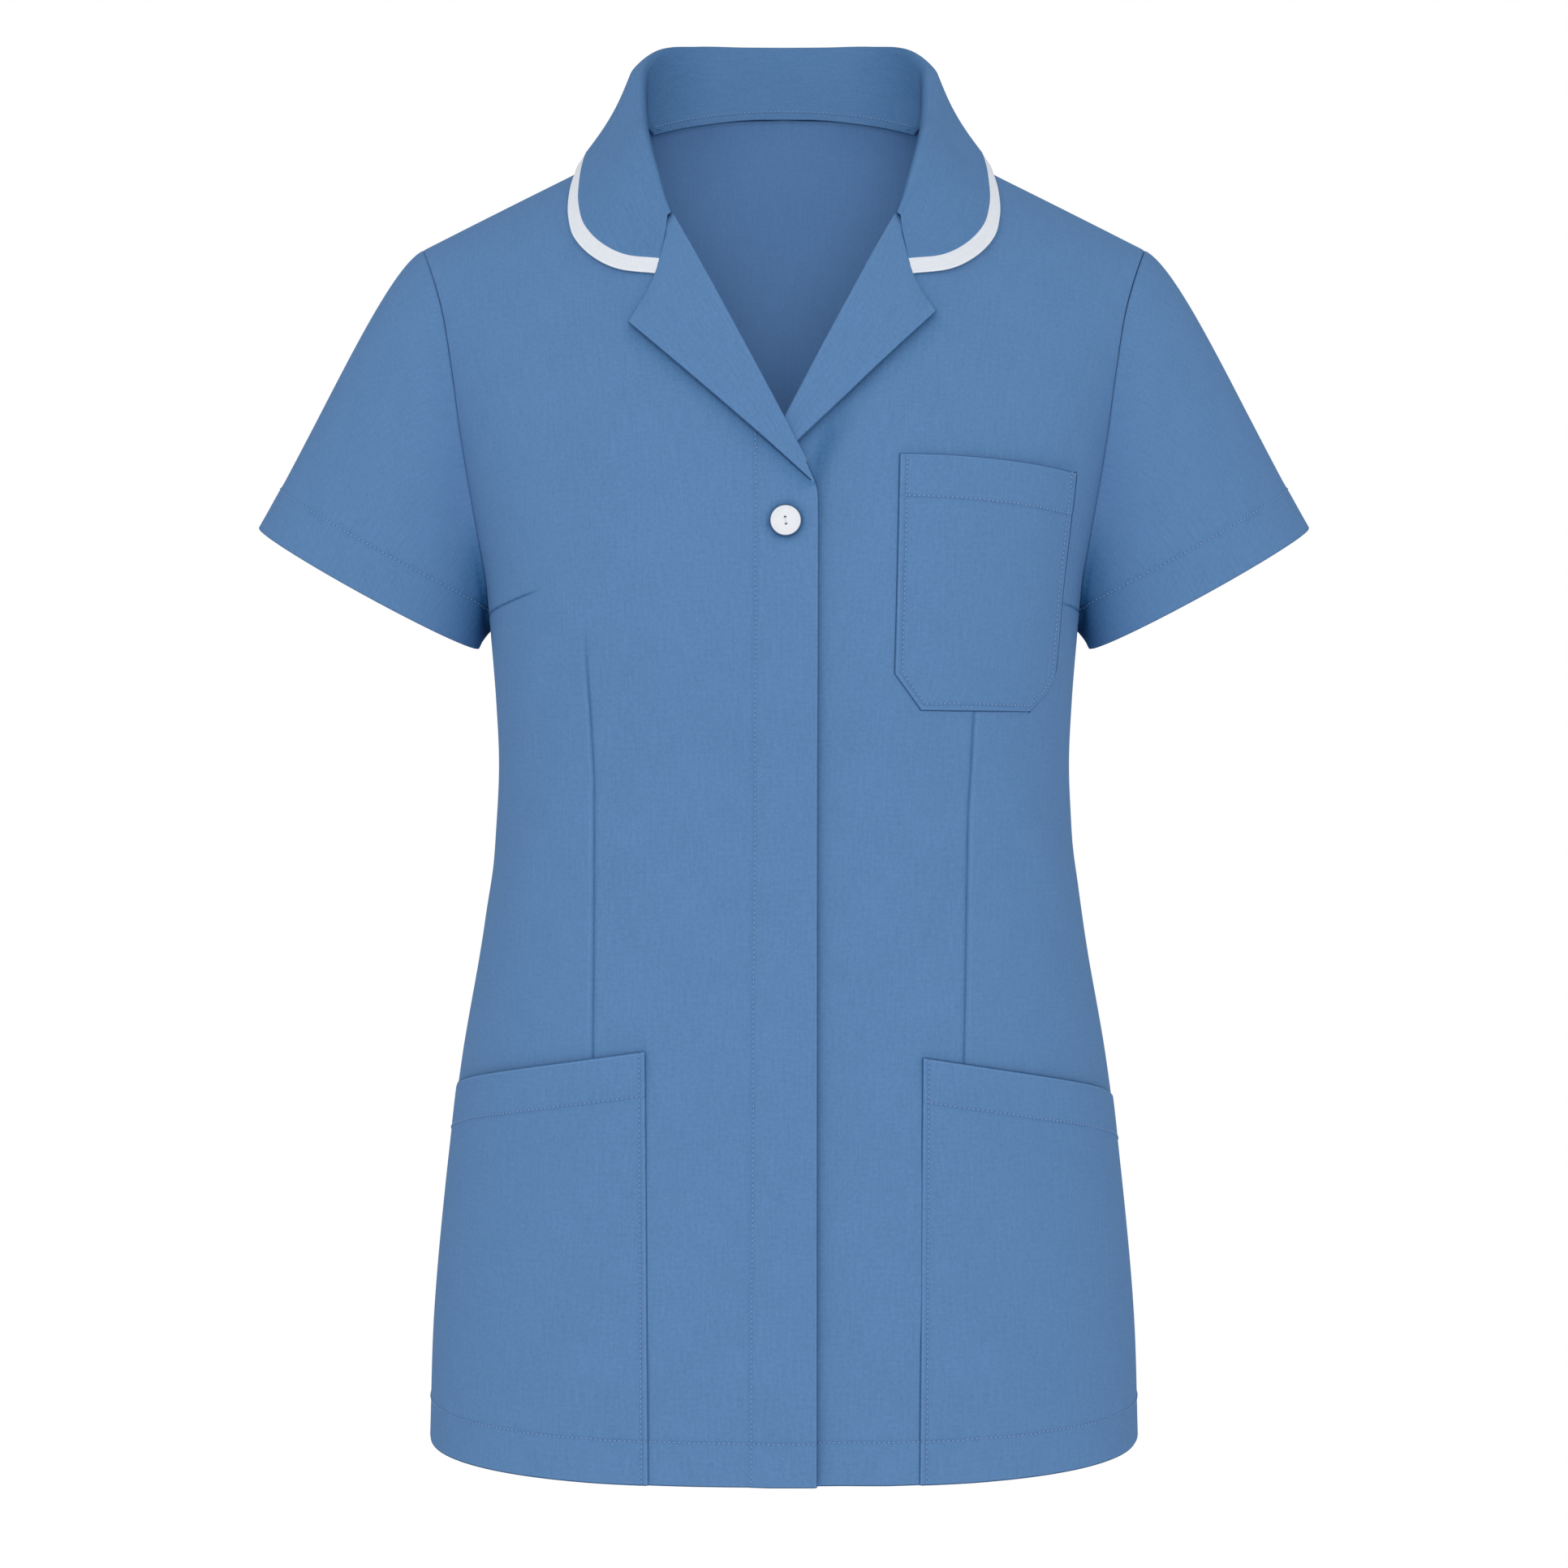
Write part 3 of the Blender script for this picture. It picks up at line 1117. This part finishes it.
def resin():
    material, tree, shader = new_material("white_resin", 0.32)
    at = add(tree, "TexCoord").outputs["Object"]
    cloud = noise(tree, at, 260.0, Detail=3.0)
    white = ramp(tree, cloud, (0.78, 0.80, 0.84), (0.86, 0.875, 0.90))
    away = add(tree, "VectorMath", {"operation": "DISTANCE"}, i0=at, i1=button_middle.tolist())
    rim = eased(tree, away.outputs["Value"], BUTTON_RADIUS - 0.0009, BUTTON_RADIUS - 0.0003)
    tint = add(tree, "Mix", {"data_type": "RGBA"}, i0=rim, i6=white, i7=BUTTON_RIM).outputs[2]
    finish(tree, shader, tint, Strength=0.1, Distance=0.00005, Height=cloud)
    return material


white_resin = resin()
print("finish:", white_resin.name, "for a button at", button_middle.round(4))


# %% Picking what an operator works on
def pick_faces(piece, axis, way):
    """Selects the faces that look one way, and stays in edit mode."""
    bpy.ops.object.mode_set(mode="EDIT")
    bpy.ops.mesh.select_mode(type="FACE")
    bpy.ops.mesh.select_all(action="DESELECT")
    bpy.ops.object.mode_set(mode="OBJECT")
    for face in piece.data.polygons:
        face.select = face.normal[axis] * way > 0.9
    bpy.ops.object.mode_set(mode="EDIT")


def select_only(piece):
    bpy.ops.object.select_all(action="DESELECT")
    piece.select_set(True)
    bpy.context.view_layer.objects.active = piece


# %% A turned disc with holes
HOLE_RADIUS, HOLE_PITCH = 0.00075, 0.0032
RIM_WIDTH, RIM_SLOPE, RIM_DROP, DISH_WIDTH, DISH_DROP = 0.0016, 0.0005, 0.00035, 0.0020, 0.00010


def turned_disc(name, radius, depth):
    bpy.ops.object.select_all(action="DESELECT")
    bpy.ops.mesh.primitive_cylinder_add(vertices=64, radius=radius, depth=depth)
    disc = bpy.context.object
    disc.name = disc.data.name = name
    pick_faces(disc, 2, 1)
    bpy.ops.mesh.inset(thickness=RIM_WIDTH)
    for width, drop in ((RIM_SLOPE, RIM_DROP), (DISH_WIDTH, DISH_DROP)):
        bpy.ops.mesh.inset(thickness=width)
        bpy.ops.transform.translate(value=(0, 0, -drop))
    bpy.ops.object.mode_set(mode="OBJECT")
    return disc


def drill(piece, x, y):
    bpy.ops.object.select_all(action="DESELECT")
    bpy.ops.mesh.primitive_cylinder_add(
        vertices=20, radius=HOLE_RADIUS, depth=BUTTON_DEPTH * 3, location=(x, y, 0)
    )
    bit = bpy.context.object
    cut = piece.modifiers.new("hole", "BOOLEAN")
    cut.operation, cut.object = "DIFFERENCE", bit
    select_only(piece)
    bpy.ops.object.modifier_apply(modifier=cut.name)
    bpy.data.objects.remove(bit)


# %% Button
def place_on_front(piece):
    """Lays a piece made face up at the origin on the front, in its mesh."""
    select_only(piece)
    piece.rotation_euler = (pi / 2 + float(np.arcsin(-button_forward[2])), 0, 0)
    piece.location = button_middle
    bpy.ops.object.transform_apply(location=True, rotation=True, scale=True)


button = turned_disc("shirt_button", BUTTON_RADIUS, BUTTON_DEPTH)
rim = button.modifiers.new("rim", "BEVEL")
rim.width, rim.segments, rim.angle_limit = 0.0004, 3, radians(40)
bpy.ops.object.modifier_apply(modifier="rim")
for end in (-1, 1):
    drill(button, 0.0002 * -end, HOLE_PITCH / 2 * end)
bpy.ops.object.shade_smooth_by_angle(angle=radians(35))
button.data.materials.append(white_resin)
place_on_front(button)
tie(button, "button")
print("button faces:", len(button.data.polygons))

# %% [markdown]
# ## Stitches
# All seams are sewn in the cloth's own colour, at ten stitches to 25 mm. A lockstitch lies on
# the cloth as a short arch of thread whose ends dive into needle holes, so each looks like a light dash
# between two darker dots. Stitches could be drawn in the finish, but real ones stand up and catch the
# light, so one stitch is modelled and copied along every line.

# %% Thread
STITCH_PITCH, STITCH_LENGTH, THREAD_RADIUS = 0.0025, 0.0019, 0.00031


def thread_finish():
    material, tree, shader = new_material("blue_thread", 0.6, 0.1)
    rub = add(tree, "Attribute", {"attribute_name": "rub"}).outputs["Fac"]
    colour = ramp(tree, rub, (0.020, 0.060, 0.150), (0.200, 0.350, 0.600), 0.6)
    fibre = noise(tree, add(tree, "TexCoord").outputs["Object"], 3500.0, Detail=1.0)
    finish(tree, shader, colour, Strength=0.3, Distance=0.00005, Height=fibre)
    return material


blue_thread = thread_finish()
print("stitches to 25 mm:", round(0.025 / STITCH_PITCH))


# %% One stitch
def one_stitch():
    """A short arch along x, thickest in the middle, made from a cylinder by extruding its ends."""
    bpy.ops.object.select_all(action="DESELECT")
    bpy.ops.mesh.primitive_cylinder_add(
        vertices=6, radius=THREAD_RADIUS, depth=STITCH_LENGTH * 0.45, rotation=(0, pi / 2, 0)
    )
    bpy.ops.object.transform_apply(rotation=True)
    stitch = bpy.context.object
    for way in (-1, 1):
        pick_faces(stitch, 0, way)
        bpy.ops.mesh.extrude_region_move(
            TRANSFORM_OT_translate={"value": (way * STITCH_LENGTH * 0.27, 0, -THREAD_RADIUS * 1.3)}
        )
        bpy.ops.transform.resize(value=(1, 0.8, 0.8))
        bpy.ops.object.mode_set(mode="OBJECT")
    return stitch


pattern = one_stitch()
stitch_shape = np.array([v.co for v in pattern.data.vertices])
stitch_faces = [list(f.vertices) for f in pattern.data.polygons]
bpy.data.objects.remove(pattern)
print("one stitch:", len(stitch_shape), "points,", len(stitch_faces), "faces")


# %% Strands through the button
STRANDS_APART, STRANDS_SINK = 0.0007, 0.00045


def copied_faces(count):
    return [[i + k * len(stitch_shape) for i in face] for k in range(count) for face in stitch_faces]


def button_strands():
    """Thick white strands from hole to hole, in the button's dish."""
    forward = button_forward
    down = unit(np.array((0.0004, forward[2], forward[1])))
    down = unit(down - forward * float(down @ forward))
    aside = np.cross(forward, down)
    middle = lifted("front", BUTTON_X, BUTTON_Z, BUTTON_BACK + BUTTON_DEPTH - STRANDS_SINK)
    x, y, z = stitch_shape.T[..., None]
    stretched = middle + x * HOLE_PITCH / STITCH_LENGTH * 1.05 * down + y * aside + z * forward
    shapes = [stretched + way * STRANDS_APART / 2 * aside for way in (-1, 1)]
    new_piece("button_strands", shapes, copied_faces(2), white_resin)


button_strands()
print("strands:", 2, "of", round(HOLE_PITCH, 4), "m")


# %% Lines to sew along
def line_at(points, axis, distance, from_end=False):
    """The line across a grid at a distance from its first or last edge."""
    grid = points if axis == 0 else points.transpose(1, 0, 2)
    grid = grid[::-1] if from_end else grid
    along, columns = run(grid, 0), range(grid.shape[1])
    return np.array([[np.interp(distance, along[:, k], grid[:, k, j]) for j in range(3)] for k in columns])


def resample(path, pitch):
    along = run(path, 0)
    count = max(int(along[-1] / pitch), 1)
    at = (np.arange(count) + 0.5) * along[-1] / count
    return np.stack([np.interp(at, along, path[:, k]) for k in range(3)], axis=1)


hem_line = line_at(back_points, 0, HEM_TURN)
print("the back's hem stitches are", round(float(run(hem_line, 0)[-1]), 3), "m long")


def sew(node, name, paths, in_shade=0.0):
    """Copies the stitch along paths that lie just outside a piece's face side."""
    mesh = pieces[node].data
    surface = BVHTree.FromPolygons([v.co for v in mesh.vertices], [p.vertices[:] for p in mesh.polygons])
    x, y, z = stitch_shape.T[..., None]
    bright = 1 - (np.abs(x[:, 0]) / (STITCH_LENGTH * 0.5)) ** 1.5
    shapes, shades = [], []
    for path in paths:
        places = resample(path, STITCH_PITCH)
        found = [surface.find_nearest(Vector(p)) for p in places]
        spots, normals = (np.array([hit[k] for hit in found]) for k in (0, 1))
        along = unit(np.gradient(spots, axis=0))
        normals = facing(normals, places - spots)
        normals = unit(normals - along * np.sum(normals * along, axis=-1, keepdims=True))
        for spot, t, b, n in zip(spots, along, np.cross(normals, along), normals):
            shapes.append(spot + x * t + y * b + (z + THREAD_RADIUS * 0.75) * n)
            shades.append(bright * (1 - in_shade * float(beside_body(abs(spot[0]), spot[2]))))
    faces = copied_faces(len(shapes))
    new_piece(name, shapes, faces, blue_thread, shades)
    print(name, "stitches", len(shapes), "faces", len(faces))


# %% Stitches of the panels, sleeves and hip pockets
CLEAR, WELL_CLEAR, RING_CLEAR = 0.002, 0.005, 1.02  # a path runs outside the cloth that it is for
SLEEVE_THREAD_SHADE = 0.75
for side, sign in zip(SIDES, (MIRROR, 1)):
    panel, hip = front_points[side], hip_points[side]
    paths = [raised("front", line_at(panel, 0, HEM_TURN), CLEAR) * sign]
    if side == "right":
        z = np.linspace(HEM + 0.001, BAND_TOP, 250)
        paths.append(lifted("front", straight(BAND_LINE, z), z, WELL_CLEAR) * sign)
    sew(f"front_{side}", f"{side}_front_stitches", paths)
    lines = line_at(hip, 0, MOUTH_BAND, True), line_at(hip, 1, EDGE_STITCH), line_at(hip, 0, HEM_TURN)
    paths = [raised("front", line, CLEAR) * sign for line in lines]
    sew(f"hip_pocket_{side}", f"{side}_hip_pocket_stitches", paths)
    ring = line_at(sleeve_points[side], 0, SLEEVE_TURN, True)
    ring = np.concatenate([ring, ring[:1]])
    ring = ring.mean(axis=0) + (ring - ring.mean(axis=0)) * RING_CLEAR
    sew(f"sleeve_{side}", f"{side}_sleeve_stitches", [ring * sign], SLEEVE_THREAD_SHADE)
sew("back", "back_stitches", [raised("back", hem_line, CLEAR)])


# %% Stitches of the chest pocket and the collar's stand
def inset_path(corners, distance):
    """A line inside an open chain of corners, at a distance from it."""
    corners = np.array(corners)
    ways = unit(np.diff(corners, axis=0))
    sides = np.stack([-ways[:, 1], ways[:, 0]], axis=1) * distance
    path = [corners[0] + sides[0]]
    for k in range(1, len(corners) - 1):
        half = unit(sides[k - 1] + sides[k])
        path.append(corners[k] + half * distance / max(float(half @ sides[k]) / distance, 0.3))
    path.append(corners[-1] + sides[-1])
    return np.array(path)


def dense(path, pitch=0.002):
    """The same path with points close together."""
    parts = []
    for a, b in zip(path[:-1], path[1:]):
        count = max(int(np.linalg.norm(b - a) / pitch), 1)
        parts.append(a + (b - a) * np.linspace(0, 1, count, endpoint=False)[:, None])
    return np.concatenate([*parts, path[-1:]])


outline = [(e.x, e.height) for e in CHEST_INNER[::-1] + CHEST_OUTER]
x, z = dense(inset_path(outline, EDGE_STITCH)).T
band = raised("front", line_at(chest_points, 0, MOUTH_BAND, True)[4:-4], CLEAR)
sew("chest_pocket", "chest_pocket_stitches", [lifted("front", x, z, WELL_CLEAR), band])
stand = line_at(collar_points, 1, 0.0054)
stand = stand[(stand[:, 1] > 0.004) & (np.abs(stand[:, 0]) < 0.0740)]  # inside the back of the neck
sew("collar", "collar_stand_stitches", [stand - unit(stand * (1, 1, 0)) * 0.002])

LIES_ON = {"front_right": ["front_left"], "front_left": ["collar"], "back": ["collar"]}
LIES_ON["chest_pocket"] = ["front_left"]
LIES_ON["collar"] = LIES_ON["collar_trim"] = ["back", "front_right", "front_left"]
for side in SIDES:
    LIES_ON[f"lapel_{side}"] = LIES_ON[f"hip_pocket_{side}"] = [f"front_{side}"]
    LIES_ON[f"sleeve_{side}"] = [f"front_{side}", "back"]

# %% [markdown]
# ## Studio
# A plain white studio: a pale floor well below, where the wearer's feet would stand, a white screen
# behind, a soft light high on the left, a broad one behind the camera, and a level camera. The white
# could be paper walls, but a bright world lights all sides evenly and casts no shadow on itself.

# %% Floor
bpy.ops.object.select_all(action="DESELECT")
bpy.ops.mesh.primitive_plane_add(size=4.4, location=(0, 0, -1.5))
floor = bpy.context.object
floor.name = "studio_floor"
floor_paint, floor_tree, floor_shader = new_material("pale_floor", 0.9)
grain = add(floor_tree, "TexNoise", Scale=6.0, Detail=2.0).outputs[0]
pale = ramp(floor_tree, grain, (0.74, 0.75, 0.77), (0.80, 0.81, 0.83))
floor_tree.links.new(pale, floor_shader.inputs["Base Color"])
floor.data.materials.append(floor_paint)
print("floor at", floor.location.z)

# %% White surroundings
AMBIENT, SCREEN, SIDE_GLOW = 0.66, 1.0, 0.24
world = bpy.data.worlds.new("white_studio")
bpy.context.scene.world = world
world.use_nodes = True
sky = world.node_tree
toward = add(sky, "SeparateXYZ", i0=add(sky, "TexCoord").outputs["Generated"]).outputs
screen = eased(sky, toward[1], 0.78, 0.90, AMBIENT, SCREEN)
sides = eased(sky, math(sky, "ABSOLUTE", toward[0]), 0.70, 1.00, 0.0, SIDE_GLOW)
glow = math(sky, "MINIMUM", math(sky, "ADD", screen, sides), SCREEN)
backdrop = sky.nodes["Background"]
backdrop.inputs[0].default_value = (1, 1, 1, 1)
sky.links.new(glow, backdrop.inputs[1])
print("world:", world.name, "nodes", len(sky.nodes))


# %% Lights and camera
def soft_light(name, size, energy, place, target=(0, 0, -0.35)):
    lamp = bpy.data.lights.new(name, "AREA")
    lamp.shape, lamp.size, lamp.energy = "DISK", size, energy
    light = new_object(name, lamp)
    light.location = place
    light.rotation_euler = (Vector(target) - Vector(place)).to_track_quat("-Z", "Y").to_euler()


soft_light("key_light", 0.9, 4.0, (-1.1, -2.0, 1.2))
soft_light("front_light", 1.3, 21.9, (0.10, -2.9, -0.25))
camera_data = bpy.data.cameras.new("camera")
camera_data.lens, camera_data.sensor_width, camera_data.clip_start = 57.97, 36, 0.01
camera = new_object("camera", camera_data)
camera.location = (0, -1.40, -0.357)
camera.rotation_euler = (pi / 2, 0, 0)
bpy.context.scene.camera = camera
bpy.context.scene.view_settings.view_transform = "Standard"
print("camera at", tuple(round(v, 3) for v in camera.location), "lens", round(camera_data.lens, 2))
